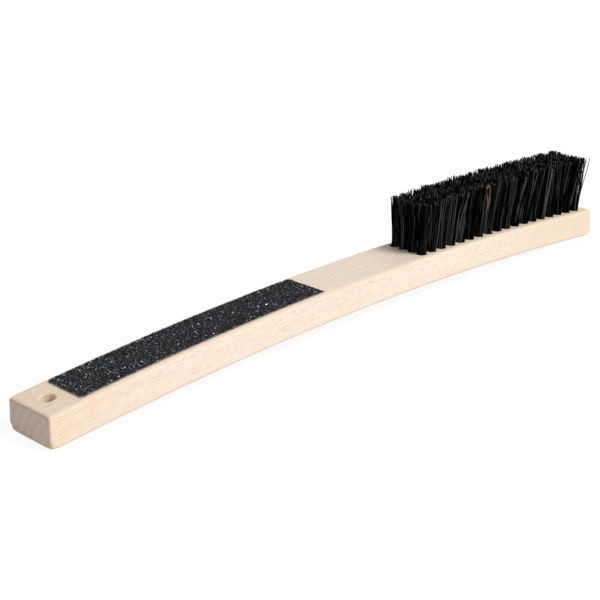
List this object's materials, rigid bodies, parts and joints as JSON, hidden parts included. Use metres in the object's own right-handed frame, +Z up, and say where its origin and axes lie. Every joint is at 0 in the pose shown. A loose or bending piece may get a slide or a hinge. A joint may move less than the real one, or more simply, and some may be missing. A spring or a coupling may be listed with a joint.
{
  "type": "climbing brush",
  "caption": "Long arched wooden hand brush with stiff bristle tufts at the head, a gritty abrasive strip on the grip and a hanging hole at the butt.",
  "frame": {"origin": "on the surface that the brush stands on, under the middle of its length and width", "axes": "+X from the butt with the hanging hole to the head with the bristles, +Z up to the bristle side, +Y across the handle"},
  "size_m": [0.29, 0.024, 0.0391],
  "materials": {
    "beech": "bare sanded beech, matte, fine grain and small ray flecks",
    "strip_film": "thin grey film with a satin edge",
    "strip_grit": "black resin-bonded grit with glinting grains",
    "bristles": "black nylon bristle with a low satin sheen"
  },
  "bodies": {
    "root": {"handle": "beech", "strip_film": "strip_film", "strip_grit": "strip_grit", "tuft_row_01": "bristles", "tuft_row_02": "bristles", "tuft_row_03": "bristles", "tuft_row_04": "bristles", "tuft_row_05": "bristles", "tuft_row_06": "bristles", "tuft_row_07": "bristles", "tuft_row_08": "bristles", "tuft_row_09": "bristles", "tuft_row_10": "bristles", "tuft_row_11": "bristles", "tuft_row_12": "bristles", "tuft_row_13": "bristles", "tuft_row_14": "bristles", "tuft_row_15": "bristles", "tuft_row_16": "bristles", "tuft_row_17": "bristles", "tuft_row_18": "bristles"}
  },
  "joints": []
}
